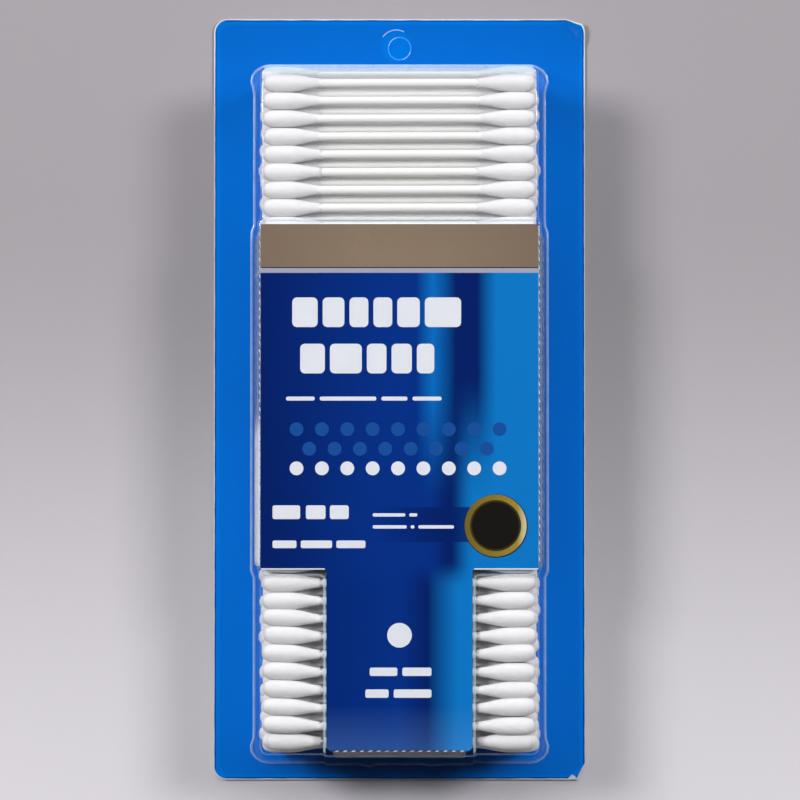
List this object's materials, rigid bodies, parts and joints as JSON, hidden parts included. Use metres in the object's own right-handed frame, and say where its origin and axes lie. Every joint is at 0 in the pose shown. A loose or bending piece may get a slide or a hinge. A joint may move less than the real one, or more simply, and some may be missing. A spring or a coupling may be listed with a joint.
{
  "type": "cotton swab blister pack",
  "caption": "Carded clear blister pack of double-tipped cotton swabs, with a T-shaped printed label folded over the stack and a die-cut hang hole.",
  "frame": {"origin": "middle of the backing card's back face, which is the bottom centre of the pack as it lies", "axes": "+Z out of the card's front, +Y towards the hang hole, +X along the swabs, to the right of someone who reads the card"},
  "size_m": [0.1044, 0.214, 0.0356],
  "materials": {
    "printed_card": "gloss",
    "clear_film": "gloss",
    "printed_label": "gloss",
    "white_stick": "gloss",
    "cotton": "matte"
  },
  "bodies": {
    "root": {"backing_card": "printed_card", "blister": "clear_film", "label_insert": "printed_label", "swab_sticks_1": "white_stick", "swab_sticks_2": "white_stick", "swab_sticks_3": "white_stick", "swab_sticks_4": "white_stick", "swab_sticks_5": "white_stick", "swab_sticks_6": "white_stick", "swab_sticks_7": "white_stick", "swab_sticks_8": "white_stick", "cotton_tips_1": "cotton", "cotton_tips_2": "cotton", "cotton_tips_3": "cotton", "cotton_tips_4": "cotton", "cotton_tips_5": "cotton", "cotton_tips_6": "cotton", "cotton_tips_7": "cotton", "cotton_tips_8": "cotton"}
  },
  "joints": []
}
